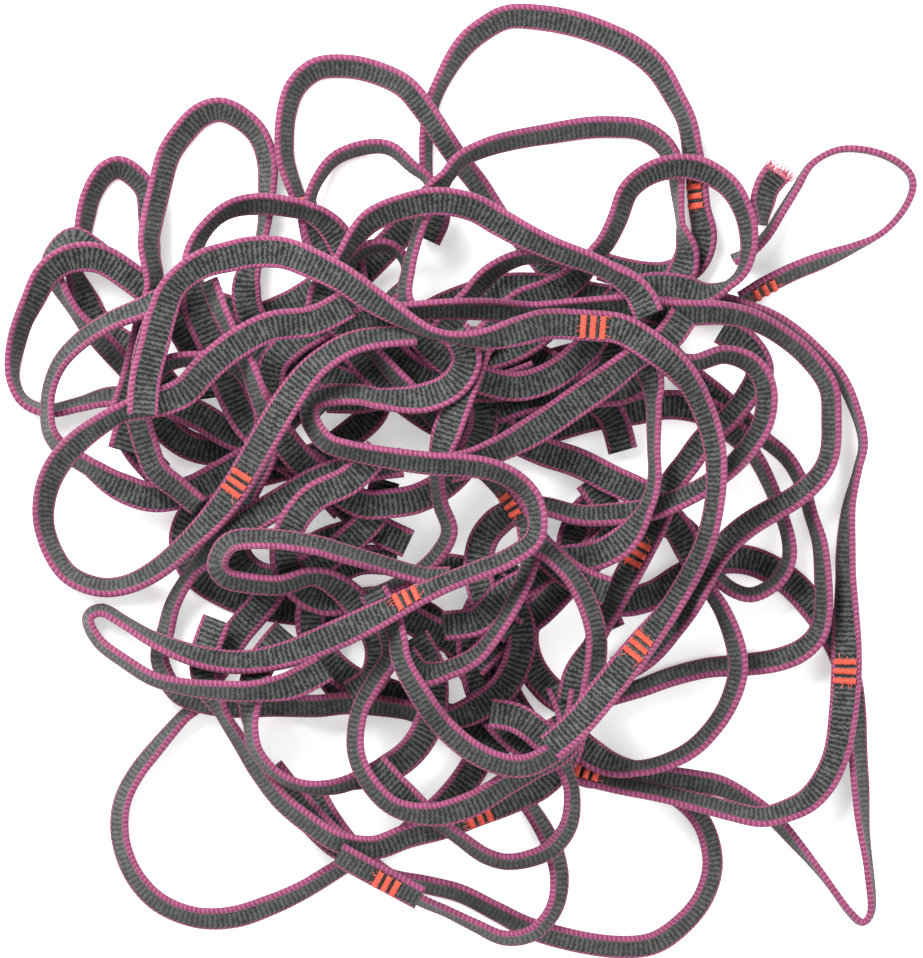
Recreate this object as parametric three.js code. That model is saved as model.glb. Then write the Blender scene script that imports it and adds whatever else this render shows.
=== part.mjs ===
// A sewn webbing chain lying loose in a heap: one long flat tape, folded into pockets by bar tacks, with an end
// loop that has a cut tail. Millimetres, +Z up, the origin under the middle of the heap.
import * as THREE from 'three';
import { mergeVertices } from 'three/addons/utils/BufferGeometryUtils.js';

// Driving dimensions
const TAPE_WIDTH = 11;
const TAPE_THICKNESS = 2.2;
const TACK_LENGTH = 9;
const TACK_WIDTH = 7.6;
const TACK_THICKNESS = 0.7;
const SEAT_GAP = 0.4;
const HINGE_GAP = 0.6;

// How a run of tape is laid: past its route it leans over to the hidden tilt
const HIDDEN_TILT = 24;
const LEAN_LENGTH = 15;
const STATION_STEP = 6.5;
const POINTS_PER_SPAN = 12;
const SLICES_PER_STEP = 10;
const RIM_STEP = 0.6;
const CELL = 1;
const FIELD_HALF = 190;
const LAY_MARGIN = 0.4;
const MAX_SLOPE = 1;
const EASE = 5;

const TAPE_MATERIAL = new THREE.MeshStandardMaterial({ color: '#4b4d52', roughness: 0.85, metalness: 0 });
const LOOP_MATERIAL = new THREE.MeshStandardMaterial({ color: '#c8357e', roughness: 0.8, metalness: 0 });
const TACK_MATERIAL = new THREE.MeshStandardMaterial({ color: '#ff6a4d', roughness: 0.7, metalness: 0 });

// The runs of tape, lowest first. route is the centre line seen from above. tilt is the turn of the tape about that
// line in degrees, spread evenly from one end to the other: 0 lies flat, 90 stands on edge, and under 90 the left
// edge is the raised one. lead and trail carry the centre line on under the rest of the heap, where the tape leans over
// to the hidden tilt. lift names the points of the route between which the run is free to be picked up.
const RUNS = [
  { name: 'end_loop', tilt: [62, 64, 90, 90, 90, 84, 76], lift: [3, 14],
    route: [[97, 62], [105, 67], [115, 72], [125, 76], [135, 80], [145, 85], [152, 92], [156, 100],
      [155, 106], [149, 111], [140, 114], [130, 114], [121, 109], [116, 101], [111, 93], [106, 85],
      [100, 79], [94, 76]] },
  { name: 'cut_tail', tilt: [70, 40, 30],
    route: [[103.2, 87.8], [103.8, 95], [105.5, 101], [109, 106]] },
  { name: 'top_arch', tilt: [75, 70, 50, 42, 45, 60, 55, 20, 25], lift: [3, 13],
    route: [[-12, 105], [-12, 118], [-10, 130], [-5, 141], [1, 150], [8, 156], [16, 160], [26, 160],
      [38, 158], [50, 154], [60, 149], [68, 142], [74, 132], [78, 124], [80, 114], [81.5, 104],
      [82.5, 94], [84, 84], [80, 75], [71, 70.5], [60, 71], [48, 74]] },
  { name: 'left_outer_arch', tilt: [75, 60, 50, 55, 75],
    route: [[-134, 74], [-131, 84], [-130, 90], [-128, 98], [-124, 105], [-119, 108], [-114, 106],
      [-109, 100], [-108, 90], [-107, 80], [-105, 66]],
    lead: [[-92, 20], [-100, 30], [-110, 42], [-124, 52], [-130, 62]],
    trail: [[-98, 54], [-88, 46], [-76, 42], [-64, 44], [-54, 50], [-44, 52], [-34, 46], [-28, 36],
      [-30, 24], [-38, 16], [-50, 8], [-64, 4], [-78, 0], [-90, -8], [-96, -20], [-92, -32],
      [-80, -40], [-66, -44], [-50, -46]] },
  { name: 'left_fold', tilt: [60, 40, 55, 75, 50, 60],
    route: [[-112, 69], [-120, 74], [-128, 80], [-134, 83], [-140, 78], [-141, 72], [-137, 64],
      [-130, 54], [-122, 46], [-115, 38], [-110, 31]],
    lead: [[-50, 66], [-60, 60], [-72, 56], [-84, 60], [-98, 62]],
    trail: [[-104, 20], [-94, 12], [-82, 10], [-70, 14], [-60, 22], [-52, 32], [-42, 38], [-30, 36],
      [-20, 28], [-8, 20], [4, 16], [16, 18], [28, 24], [38, 34], [44, 46], [40, 58], [28, 64], [14, 66]] },
  { name: 'left_low_loop', tilt: [50, 70, 78, 60, 40],
    route: [[-113, 28], [-122, 28.5], [-132, 26], [-142, 24], [-150, 26.5], [-154, 32], [-155, 40],
      [-152, 52], [-147, 62], [-142, 71]],
    lead: [[-40, -10], [-48, -2], [-58, 6], [-70, 12], [-80, 16], [-90, 22], [-102, 27]],
    trail: [[-134, 76], [-124, 76], [-114, 70], [-104, 62], [-96, 52], [-90, 40], [-88, 28]] },
  { name: 'lower_left_arch', tilt: [75, 65, 60, 55, 50, 60, 70],
    route: [[-90, -77], [-96, -82], [-104, -91], [-112, -101], [-117, -111], [-118, -122],
      [-115, -133], [-109, -142], [-101, -148], [-90, -151.5], [-78, -151], [-66, -147], [-55, -142],
      [-45, -136], [-35, -130], [-25, -126]],
    lead: [[-24, -14], [-36, -18], [-48, -22], [-60, -30], [-68, -42], [-78, -54], [-85, -66]],
    trail: [[-12, -118], [0, -106], [8, -92], [10, -78], [4, -66], [-4, -54], [-14, -46], [-26, -42],
      [-38, -44], [-46, -54], [-46, -66], [-38, -76]] },
  { name: 'bottom_arch', tilt: [60, 60, 50, 48, 55, 60, 70],
    route: [[-25, -137], [-12, -140], [0, -143], [12, -149], [24, -155], [40, -159.5], [55, -161.5],
      [67, -160], [77, -153], [84, -144], [87, -133], [85, -122], [80, -114], [72, -108], [60, -103],
      [48, -102]],
    lead: [[-52, -108], [-46, -118], [-37, -129]],
    trail: [[36, -96], [24, -86], [16, -74], [12, -60], [16, -46], [24, -36], [36, -34], [46, -40],
      [52, -52]] },
  { name: 'bottom_inner_arch', tilt: [70, 75, 65, 60, 70],
    route: [[-30, -133], [-22, -137.5], [-15, -144], [-5, -149], [5, -154], [15, -158], [25, -156],
      [32, -148], [34, -138], [32, -128], [27, -118], [20, -108], [17, -103]],
    lead: [[-66, -100], [-56, -112], [-44, -124]],
    trail: [[10, -92], [0, -84], [-12, -80], [-24, -74], [-36, -70], [-46, -62], [-52, -50],
      [-48, -36], [-36, -28], [-22, -28]] },
  { name: 'corner_fold', tilt: [30, 45, 70, 88, 80, 60, 40],
    route: [[43, -101], [52, -101], [65, -102], [80, -104], [90, -106], [100, -111], [108, -117],
      [117, -127], [126, -138], [134, -149], [139, -153], [142, -148], [141, -135], [139, -120],
      [138, -105], [137, -92], [136, -80], [134, -68]],
    lead: [[-24, -44], [-14, -50], [-2, -56], [6, -62], [10, -70], [18, -82], [30, -93]],
    trail: [[130, -56], [122, -44], [112, -34], [100, -28], [88, -28], [76, -34], [66, -40], [54, -42],
      [44, -36], [38, -24], [42, -12], [52, -4]] },
  { name: 'right_outer_run', tilt: [60, 75, 86, 60, 20, 40, 60, 65, 40],
    route: [[100, 58], [110, 54], [120, 47], [130, 37], [136, 25], [139, 13], [137, 3], [134, -10],
      [133, -25], [133, -40], [133, -52], [133, -66], [132, -80], [130, -93], [126, -103], [120, -110],
      [112, -114], [103, -116], [93, -114], [82, -111], [70, -108], [56, -105], [43, -101], [30, -96]],
    lead: [[-4, 36], [10, 36], [24, 38], [38, 42], [52, 44], [64, 52], [76, 58], [88, 60]],
    trail: [[18, -88], [8, -76], [4, -62], [4, -50], [10, -38], [20, -30]] },
  { name: 'right_middle_run', tilt: [70, 75, 65, 50, 60, 65],
    route: [[105, 14], [113, 7], [118, -2], [121, -12], [124, -22], [125, -35], [125, -45], [123, -53],
      [117, -59], [108, -62.5], [97, -64], [85, -65], [73, -68], [62, -72], [52, -75]],
    lead: [[36, 60], [48, 60], [60, 52], [70, 44], [78, 36], [88, 28], [97, 20]],
    trail: [[42, -78], [32, -74], [24, -64], [22, -52], [28, -40], [38, -30], [48, -22], [50, -10],
      [44, 0]] },
  { name: 'right_inner_loop', tilt: [70, 75, 72, 70],
    route: [[101, 9], [106, 0], [110, -10], [113, -20], [113, -28], [109, -35], [101, -39.5],
      [94, -38], [88, -33]],
    lead: [[20, 14], [32, 18], [46, 22], [60, 24], [72, 26], [84, 24], [93, 18]],
    trail: [[82, -24], [74, -16], [64, -14], [54, -18], [46, -26], [36, -36], [26, -46], [14, -54],
      [4, -64]] },
  { name: 'south_bend', tilt: [70, 60, 65, 70],
    route: [[85, -37], [90, -45], [94, -55], [95.5, -65], [93, -75], [88, -84], [80, -92], [70, -97],
      [60, -99]],
    lead: [[-4, 30], [6, 24], [16, 16], [28, 10], [40, 6], [52, 0], [64, -6], [74, -16], [80, -27]],
    trail: [[50, -97], [40, -90], [34, -80]] },
  { name: 'left_inner_arch', tilt: [60, 50, 45, 55, 75],
    route: [[-105, 66], [-107, 80], [-106, 90], [-104, 100], [-101, 112], [-96, 120], [-90, 126],
      [-83, 128], [-76, 125], [-70, 119], [-67, 110], [-67, 100], [-68, 88], [-70, 80]],
    lead: [[-104, 2], [-112, 12], [-115, 23], [-112, 34], [-108, 50]],
    trail: [[-74, 68], [-72, 56], [-62, 48], [-50, 44], [-36, 42], [-24, 44], [-12, 48], [2, 48],
      [16, 46], [30, 40], [42, 32], [52, 22], [56, 10]] },
  { name: 'upper_left_arch', tilt: [70, 60, 50, 50, 55, 60],
    route: [[-54, 92], [-60, 108], [-61, 118], [-60, 128], [-57, 136], [-50, 142], [-40, 143],
      [-30, 141], [-20, 136], [-13, 128], [-2, 112], [6, 102], [14, 90], [20, 84]],
    lead: [[-36, 62], [-44, 72], [-50, 82]],
    trail: [[30, 74], [34, 64], [30, 54], [20, 46], [8, 42], [-6, 40], [-20, 34], [-34, 32], [-46, 36],
      [-56, 44]] },
  { name: 'upper_left_inner', tilt: [78, 72, 78],
    route: [[-52, 97], [-48, 106], [-42, 112], [-32, 115], [-24, 114], [-17, 108], [-11, 103]],
    lead: [[-46, 78], [-51, 88]],
    trail: [[-8, 93], [-12, 83]] },
  { name: 'upper_inner_run', tilt: [70, 60, 55, 60, 84],
    route: [[-5, 104], [0, 110], [8, 114], [18, 117], [30, 119.5], [42, 121.5], [52, 122], [62, 121],
      [70, 116], [74, 108], [75, 98], [76, 88]],
    lead: [[-54, 52], [-46, 60], [-38, 68], [-30, 76], [-22, 84], [-13, 94]],
    trail: [[78, 78], [74, 68], [64, 62], [52, 62], [40, 64], [28, 66], [14, 66], [0, 62], [-12, 56],
      [-22, 48], [-32, 40]] },
  { name: 'upper_right_ring', tilt: [60, 55, 45, 60, 80],
    route: [[45, 76], [50, 82], [54, 90], [58, 100], [66, 106], [76, 108], [85, 106], [93, 100],
      [98, 90], [99, 80], [97, 72], [92, 67]],
    lead: [[-10, 30], [0, 40], [10, 50], [20, 60], [30, 64], [39, 69]],
    trail: [[84, 64], [74, 66], [64, 66], [54, 62], [50, 52], [52, 40], [44, 32]] },
  { name: 'left_low_run', tilt: [50, 60, 70, 60],
    route: [[-100, 62], [-110, 58], [-120, 54], [-130, 48], [-138, 40], [-142, 30], [-142, 18],
      [-138, 11], [-134, 8], [-128, 4.5]],
    lead: [[-46, 24], [-54, 32], [-64, 40], [-78, 50], [-88, 58]],
    trail: [[-118, -2], [-106, -6], [-94, -4], [-82, 2], [-70, 8], [-58, 8], [-48, 2], [-40, -8],
      [-30, -16], [-18, -22]] },
  { name: 'left_small_arch', tilt: [60, 70, 55, 60],
    route: [[-92, 72], [-90, 82], [-84, 90], [-77, 94], [-68, 95], [-60, 94], [-52, 92]],
    lead: [[-66, 12], [-74, 20], [-80, 32], [-84, 44], [-90, 58]],
    trail: [[-44, 86], [-38, 74], [-38, 62], [-46, 54], [-56, 48], [-64, 40], [-66, 28]] },
  { name: 'left_cross_run', tilt: [60, 72, 60],
    route: [[-108, 30], [-103, 38], [-95, 41], [-85, 41], [-76, 38], [-70, 31]],
    lead: [[-116, 10], [-113, 20]],
    trail: [[-66, 20], [-68, 8], [-74, -4], [-78, -16], [-76, -28], [-66, -34], [-52, -30], [-40, -22],
      [-30, -12], [-26, 0]] },
  { name: 'left_slant_run', tilt: [60, 70, 60],
    route: [[-86, 68], [-82, 58], [-77, 48], [-72, 38], [-68, 27]],
    trail: [[-62, 16], [-54, 6], [-44, -2], [-34, -8], [-24, -8], [-14, -6], [-4, 0], [4, 10], [8, 22],
      [4, 34]] },
  { name: 'lower_left_bend', tilt: [70, 60, 50, 50, 60],
    route: [[-92, -31], [-99, -42], [-102, -52], [-104, -62], [-99, -72], [-92, -76], [-80, -78],
      [-65, -78], [-50, -78], [-38, -77], [-20, -79], [-10, -82]],
    lead: [[-20, 6], [-34, 4], [-48, 0], [-62, -8], [-72, -14], [-82, -22]],
    trail: [[2, -80], [14, -72], [20, -60], [20, -48], [14, -38], [4, -32], [-8, -30]] },
  { name: 'lower_left_curve', tilt: [70, 60, 55, 45, 40, 40],
    route: [[-82, -80], [-76, -90], [-70, -100], [-62, -110], [-52, -118], [-42, -124], [-30, -126],
      [-18, -122], [-5, -119], [6, -115], [18, -110]],
    lead: [[-84, -48], [-88, -60], [-87, -70]],
    trail: [[28, -104], [36, -94], [38, -82], [34, -70]] },
  { name: 'lower_small_curve', tilt: [70, 75, 65],
    route: [[-72, -84], [-70, -93], [-63, -101], [-54, -105], [-45, -105.5], [-38, -104]],
    lead: [[-60, -52], [-68, -62], [-72, -74]],
    trail: [[-26, -100], [-16, -92], [-10, -80], [-10, -66], [-16, -54]] },
  { name: 'bottom_ring', tilt: [70, 65, 60, 70],
    route: [[-8, -117], [0, -123], [8, -129], [16, -131.5], [25, -130], [32, -126], [37, -118],
      [38, -108], [36, -100]],
    lead: [[-30, -98], [-20, -108]],
    trail: [[30, -90], [20, -82], [10, -80]] },
  { name: 'tack_stub_south', tilt: [45, 45],
    route: [[-42, -128], [-34, -132.5], [-25, -137.5], [-14, -143.5]] },
  { name: 'upper_ring', tilt: [60, 72, 60],
    route: [[3, 63], [10, 71], [20, 76], [30, 76], [42, 74], [55, 70], [63, 63]],
    lead: [[-46, 28], [-34, 28], [-22, 31], [-12, 38], [-6, 50]],
    trail: [[68, 52], [66, 40], [58, 32], [48, 30], [36, 30], [24, 28], [12, 24]] },
  { name: 'small_ring', tilt: [72, 78, 72],
    route: [[-38, 75], [-31, 80], [-24, 80], [-19, 75], [-19, 68], [-25, 61]],
    lead: [[-14, 26], [-24, 32], [-34, 41], [-40, 52], [-44, 64]],
    trail: [[-28, 50], [-20, 40], [-10, 34], [2, 32], [14, 32], [26, 36]] },
  { name: 'upper_link', tilt: [72, 76, 70],
    route: [[-11, 100], [-13, 90], [-16, 80], [-18, 72], [-19, 62]],
    trail: [[-14, 50], [-4, 40], [8, 34], [20, 32], [32, 36], [42, 44], [50, 54], [58, 62]] },
  { name: 'tack_ribbon_east', tilt: [50, 40, 35, 60],
    route: [[98, 28], [92, 21], [84, 14], [78, 6], [72, -2], [67, -14], [61, -25.5], [56, -35],
      [50, -47], [45, -57]],
    lead: [[90, 52], [99, 46], [103, 37]],
    trail: [[40, -66], [38, -76]] },
  { name: 'right_ring', tilt: [65, 55, 60, 50, 60],
    route: [[80, 40], [90, 43], [98, 41], [103, 36], [105, 28], [103, 18], [96, 8], [88, 1], [78, -5],
      [65, -10], [50, -12], [40, -12], [27, -9]],
    lead: [[58, 46], [70, 40]],
    trail: [[16, -12], [8, -20], [6, -32], [10, -44], [18, -52]] },
  { name: 'middle_drop', tilt: [70, 76, 70],
    route: [[66, 26], [66, 18], [66, 10], [66, 0], [63, -10]],
    lead: [[60, 44], [65, 35]],
    trail: [[56, -20], [46, -26], [34, -28], [24, -34], [14, -40], [6, -48], [-6, -50]] },
  { name: 'middle_slant', tilt: [72, 60, 66, 60],
    route: [[-32, 46], [-20, 33], [-8, 20], [0, 9], [10, 1], [18, -8], [22, -15]],
    lead: [[-50, 60], [-42, 54]],
    trail: [[30, -26], [40, -34], [50, -38]] },
  { name: 'middle_hook', tilt: [70, 66, 72],
    route: [[-8, 1], [-7, -8], [-4, -18], [-10, -28], [-20, -35], [-32, -40]],
    lead: [[6, 46], [2, 35], [-2, 24], [-6, 12]],
    trail: [[-44, -42], [-54, -38], [-60, -28], [-58, -16], [-50, -6], [-38, 0], [-28, 10]] },
  { name: 'east_run', tilt: [60, 50, 40, 60, 60, 45, 50],
    route: [[-18, 57], [-5, 58], [10, 58], [25, 57], [40, 58], [60, 59], [70, 57], [80, 57], [90, 57],
      [100, 55], [110, 50], [120, 42], [127, 32], [128, 20], [127, 9], [123, 1], [115, -6], [108, -10],
      [98, -16], [90, -23], [84, -32], [79, -42], [72, -52]],
    lead: [[-40, 52], [-29, 55]],
    trail: [[64, -60], [54, -66]] },
  { name: 'lower_west_curve', tilt: [65, 60, 55, 60],
    route: [[-12, -33], [-20, -31], [-30, -28], [-40, -25], [-50, -22], [-65, -20], [-78, -21],
      [-83, -28], [-81, -33], [-75, -35], [-62, -36], [-50, -33]],
    lead: [[-4, -34]],
    trail: [[-40, -38], [-32, -48], [-28, -58], [-30, -68], [-38, -74]] },
  { name: 'west_descent', tilt: [60, 45, 40, 50],
    route: [[-97, 66], [-103, 57], [-107, 45], [-109, 33], [-110, 22], [-107, 10], [-104, 3],
      [-97, -3], [-90, -9]] },
  { name: 'upper_long_run', tilt: [70, 45, 35, 35, 50, 60],
    route: [[-41, 75], [-36, 83], [-30, 89], [-20, 93], [-8, 95], [4, 93], [13, 88], [22, 83],
      [33, 78], [44, 74], [52, 70]],
    lead: [[-48, 58], [-46, 67]],
    trail: [[60, 64], [64, 56]] },
  { name: 'south_long_curve', tilt: [60, 65, 60, 40, 50],
    route: [[-24, -60], [-30, -70], [-35, -80], [-36, -93], [-31, -104], [-22, -112], [-8, -114],
      [5, -110], [15, -104], [25, -98]],
    lead: [[-30, -38], [-25, -49]],
    trail: [[34, -92], [40, -82], [42, -72]] },
  { name: 'middle_face', tilt: [40, 15, 15, 40],
    route: [[12, 10], [20, 14], [30, 20], [40, 27], [50, 34], [60, 42]],
    lead: [[-4, 4], [4, 6]],
    trail: [[70, 48], [76, 56]] },
  { name: 'lower_hook', tilt: [65, 70, 60],
    route: [[23, -30], [18, -42], [12, -52], [5, -60], [-5, -65]],
    lead: [[24, -16], [24, -23]],
    trail: [[-14, -66], [-20, -60]] },
  { name: 'south_ring', tilt: [60, 50, 50, 50, 55, 60],
    route: [[-22, -52], [-20, -62], [-14, -73], [-7, -83], [2, -91], [12, -96], [22, -97], [32, -92],
      [40, -84], [44, -74], [46, -62], [46, -52], [43, -42], [38, -33], [30, -25]],
    lead: [[-26, -43]],
    trail: [[22, -19]] },
  { name: 'middle_long_run', tilt: [55, 60, 50, 60, 60, 25, 50, 76, 70, 55],
    route: [[-27, 27.5], [-35, 29], [-45, 28.5], [-51, 26], [-51, 20], [-46, 13], [-38, 10],
      [-25, 7.5], [-10, 5.5], [0, 5], [10, 3.5], [18, 0], [24, -6], [26, -14], [24, -21], [15, -27],
      [5, -31], [-5, -35], [-18, -41], [-30, -47], [-45, -54], [-60, -60], [-75, -62.5], [-90, -60.5],
      [-105, -55], [-116, -49], [-124, -45], [-129, -48], [-125, -56], [-115, -63], [-105, -68.5],
      [-93, -71], [-80, -72], [-70, -72]],
    lead: [[-2, 51], [2, 41], [-3, 32], [-14, 27.5]],
    trail: [[-58, -70], [-46, -64]] },
  { name: 'west_long_run', tilt: [60, 45, 25, 25, 50, 60, 60, 45, 60],
    route: [[-15, 49], [-30, 48], [-40, 45], [-50, 38], [-58, 28], [-66, 15], [-76, -1.5], [-85, -13],
      [-95, -23], [-105, -31], [-115, -36], [-125, -37], [-135, -33], [-141, -25], [-144, -15],
      [-143, -5], [-139, 4], [-132, 12], [-124, 18], [-115, 23]],
    trail: [[-104, 26], [-94, 30], [-86, 38], [-76, 46], [-64, 52], [-50, 54], [-38, 60]] },
  { name: 'top_long_run', tilt: [40, 10, 35, 80, 20, 20, 50, 60, 55, 15, 30],
    route: [[-97, 66], [-88, 73], [-78, 76], [-70, 77.5], [-60, 77], [-50, 73], [-40, 68], [-30, 61],
      [-20, 55], [-10, 50], [0, 48], [10, 48], [20, 50.5], [30, 53], [45, 52.5], [55, 51], [65, 45],
      [74, 38], [80, 30], [85, 18], [87, 5], [86, -10], [82, -25], [73, -42], [61, -57], [50, -70],
      [40, -82], [30, -91]],
    lead: [[-108, 22], [-107, 34], [-104, 46], [-101, 57]] },
];

// The bar tacks: the run each is sewn on, and where along it.
const TACKS = [
  { name: 'tack_north_east', run: 'top_arch', at: [82, 98] },
  { name: 'tack_upper_middle', run: 'top_long_run', at: [45, 52.5] },
  { name: 'tack_west', run: 'west_long_run', at: [-76, -1.5] },
  { name: 'tack_east_inner', run: 'tack_ribbon_east', at: [61, -25.5] },
  { name: 'tack_south_east', run: 'top_long_run', at: [61, -57] },
  { name: 'tack_middle', run: 'middle_long_run', at: [-18, -41] },
  { name: 'tack_east', run: 'right_outer_run', at: [133, -66] },
  { name: 'tack_south', run: 'right_outer_run', at: [43, -101] },
  { name: 'tack_south_west', run: 'tack_stub_south', at: [-25, -137] },
];

const radians = THREE.MathUtils.degToRad;
const clamp = THREE.MathUtils.clamp;

// A smooth line through the route's points, as closely spaced points with their distance along the line.
function smoothLine(route) {
  const line = [];
  for (let i = 0; i < route.length - 1; i++) {
    const [before, start, end, after] = [-1, 0, 1, 2].map((k) => route[clamp(i + k, 0, route.length - 1)]);
    for (let k = 0; k < POINTS_PER_SPAN; k++) {
      const t = k / POINTS_PER_SPAN;
      line.push([0, 1].map((axis) => 0.5 * (2 * start[axis] + (end[axis] - before[axis]) * t
        + (2 * before[axis] - 5 * start[axis] + 4 * end[axis] - after[axis]) * t * t
        + (3 * start[axis] - before[axis] - 3 * end[axis] + after[axis]) * t * t * t)));
    }
  }
  line.push(route.at(-1));
  const distance = [0];
  for (let i = 1; i < line.length; i++) {
    distance.push(distance[i - 1] + Math.hypot(line[i][0] - line[i - 1][0], line[i][1] - line[i - 1][1]));
  }
  return { line, distance, length: distance.at(-1) };
}

function pointAt({ line, distance, length }, s) {
  const place = clamp(s, 0, length);
  let i = 1;
  while (i < line.length - 1 && distance[i] < place) i++;
  const t = (place - distance[i - 1]) / (distance[i] - distance[i - 1]);
  return [0, 1].map((axis) => line[i - 1][axis] + (line[i][axis] - line[i - 1][axis]) * t);
}

function tiltAt(tilt, share) {
  const place = clamp(share, 0, 1) * (tilt.length - 1);
  const i = Math.min(Math.floor(place), tilt.length - 2);
  const t = place - i;
  return tilt[i] + (tilt[i + 1] - tilt[i]) * t * t * (3 - 2 * t);
}

// The whole centre line of a run, and how far along it the route itself starts and ends.
function fullLine({ route, lead = [], trail = [] }) {
  const smooth = smoothLine([...lead, ...route, ...trail]);
  const first = lead.length;
  const last = first + route.length - 1;
  const [routeStart, routeEnd] = [first, last].map((i) => smooth.distance[i * POINTS_PER_SPAN]);
  return { ...smooth, first, routeStart, routeEnd };
}

// A station is a cross-section of the tape: its centre, and the directions of the width and of the thickness, both in
// the upright plane across the run.
function stationAt(smooth, tilt, s) {
  const [x, y] = pointAt(smooth, s);
  const ahead = pointAt(smooth, s + 1);
  const behind = pointAt(smooth, s - 1);
  const heading = Math.atan2(ahead[1] - behind[1], ahead[0] - behind[0]);
  const past = Math.max(smooth.routeStart - s, s - smooth.routeEnd, 0);
  const lean = Math.min(past / LEAN_LENGTH, 1);
  const routeTilt = tiltAt(tilt, (s - smooth.routeStart) / (smooth.routeEnd - smooth.routeStart));
  const angle = radians(routeTilt + (HIDDEN_TILT - routeTilt) * lean);
  const left = new THREE.Vector3(-Math.sin(heading), Math.cos(heading), 0);
  const up = new THREE.Vector3(0, 0, 1);
  const across = left.clone().multiplyScalar(Math.cos(angle)).addScaledVector(up, Math.sin(angle));
  const through = up.multiplyScalar(Math.cos(angle)).addScaledVector(left, -Math.sin(angle));
  return { s, centre: new THREE.Vector3(x, y, 0), across, through, upper: Math.sign(Math.cos(angle)) || 1 };
}

function between(a, b, t) {
  return {
    s: a.s + (b.s - a.s) * t,
    centre: a.centre.clone().lerp(b.centre, t),
    across: a.across.clone().lerp(b.across, t),
    through: a.through.clone().lerp(b.through, t),
    upper: t < 0.5 ? a.upper : b.upper,
  };
}

// The outline of a section as points, each relative to its centre.
function rim(station, halfWidth, low, high) {
  const corners = [[-halfWidth, low], [halfWidth, low], [halfWidth, high], [-halfWidth, high]];
  const points = [];
  corners.forEach(([x0, y0], i) => {
    const [x1, y1] = corners[(i + 1) % corners.length];
    const count = Math.ceil(Math.hypot(x1 - x0, y1 - y0) / RIM_STEP);
    for (let k = 0; k < count; k++) {
      const x = x0 + ((x1 - x0) * k) / count;
      const y = y0 + ((y1 - y0) * k) / count;
      points.push(station.across.clone().multiplyScalar(x).addScaledVector(station.through, y));
    }
  });
  return points;
}

const tapeRim = (station, margin) => rim(station, TAPE_WIDTH / 2 + margin, -TAPE_THICKNESS / 2 - margin,
  TAPE_THICKNESS / 2 + margin);

// The height of what already lies on the ground, on a square grid.
const FIELD_SIDE = Math.round((2 * FIELD_HALF) / CELL);
const heights = new Float64Array(FIELD_SIDE * FIELD_SIDE).fill(-Infinity);
const cellOf = (x, y) => Math.floor((y + FIELD_HALF) / CELL) * FIELD_SIDE + Math.floor((x + FIELD_HALF) / CELL);

function slices(stations) {
  const list = [];
  for (let i = 0; i < stations.length - 1; i++) {
    for (let k = 0; k < SLICES_PER_STEP; k++) {
      list.push(between(stations[i], stations[i + 1], k / SLICES_PER_STEP));
    }
  }
  list.push(stations.at(-1));
  return list;
}

// The lowest centre height at which a slice clears the ground and everything laid so far.
function restingHeight(slice) {
  let height = -Math.min(...tapeRim(slice, 0).map((p) => p.z));
  for (const p of tapeRim(slice, LAY_MARGIN)) {
    const below = heights[cellOf(slice.centre.x + p.x, slice.centre.y + p.y)];
    height = Math.max(height, below - p.z);
  }
  return height;
}

// Lays a run on the heap: it bridges from one high place to the next with a limited slope and soft turns.
function lay(stations) {
  const list = slices(stations);
  const resting = list.map(restingHeight);
  const sloped = list.map((a) => Math.max(...list.map((b, j) => resting[j] - MAX_SLOPE * Math.abs(a.s - b.s))));
  const reach = STATION_STEP + EASE;
  const held = list.map((a) => Math.max(...list.map((b, j) => (Math.abs(a.s - b.s) <= reach ? sloped[j] : 0))));
  for (const station of stations) {
    const near = held.filter((_, j) => Math.abs(list[j].s - station.s) <= EASE);
    station.centre.z = near.reduce((sum, h) => sum + h, 0) / near.length;
  }
}

function raiseField(stations, rimOf) {
  for (const slice of slices(stations)) {
    for (const p of rimOf(slice)) {
      const cell = cellOf(slice.centre.x + p.x, slice.centre.y + p.y);
      heights[cell] = Math.max(heights[cell], slice.centre.z + p.z);
    }
  }
}

// The stretch of a run that a tack covers, and the section of the tack's pad over the tape's upper face.
function tackSpan({ smooth, stations }, at) {
  const gaps = smooth.line.map(([x, y]) => Math.hypot(x - at[0], y - at[1]));
  const nearest = smooth.distance[gaps.indexOf(Math.min(...gaps))];
  const middle = clamp(nearest, TACK_LENGTH, smooth.length - TACK_LENGTH);
  return stretch(stations, middle - TACK_LENGTH / 2, middle + TACK_LENGTH / 2);
}

function padSection(upper) {
  const levels = [TAPE_THICKNESS / 2 + SEAT_GAP, TAPE_THICKNESS / 2 + SEAT_GAP + TACK_THICKNESS];
  return levels.map((level) => level * upper).sort((a, b) => a - b);
}

// A path whose points and frames are the stations themselves.
class TapePath extends THREE.Curve {
  constructor(stations) {
    super();
    this.stations = stations;
  }

  getSpacedPoints() {
    return this.stations.map((station) => station.centre);
  }

  computeFrenetFrames() {
    return {
      tangents: this.stations.map((station) => station.across.clone().cross(station.through)),
      normals: this.stations.map((station) => station.across),
      binormals: this.stations.map((station) => station.through),
    };
  }
}

function solidAlong(name, stations, halfWidth, low, high, material) {
  const section = new THREE.Shape([[-halfWidth, low], [halfWidth, low], [halfWidth, high], [-halfWidth, high]]
    .map(([x, y]) => new THREE.Vector2(x, y)));
  const geometry = new THREE.ExtrudeGeometry(section, {
    steps: stations.length - 1, bevelEnabled: false, extrudePath: new TapePath(stations) });
  geometry.deleteAttribute('normal');
  geometry.deleteAttribute('uv');
  const mesh = new THREE.Mesh(mergeVertices(geometry), material);
  mesh.name = name;
  return mesh;
}

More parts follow.
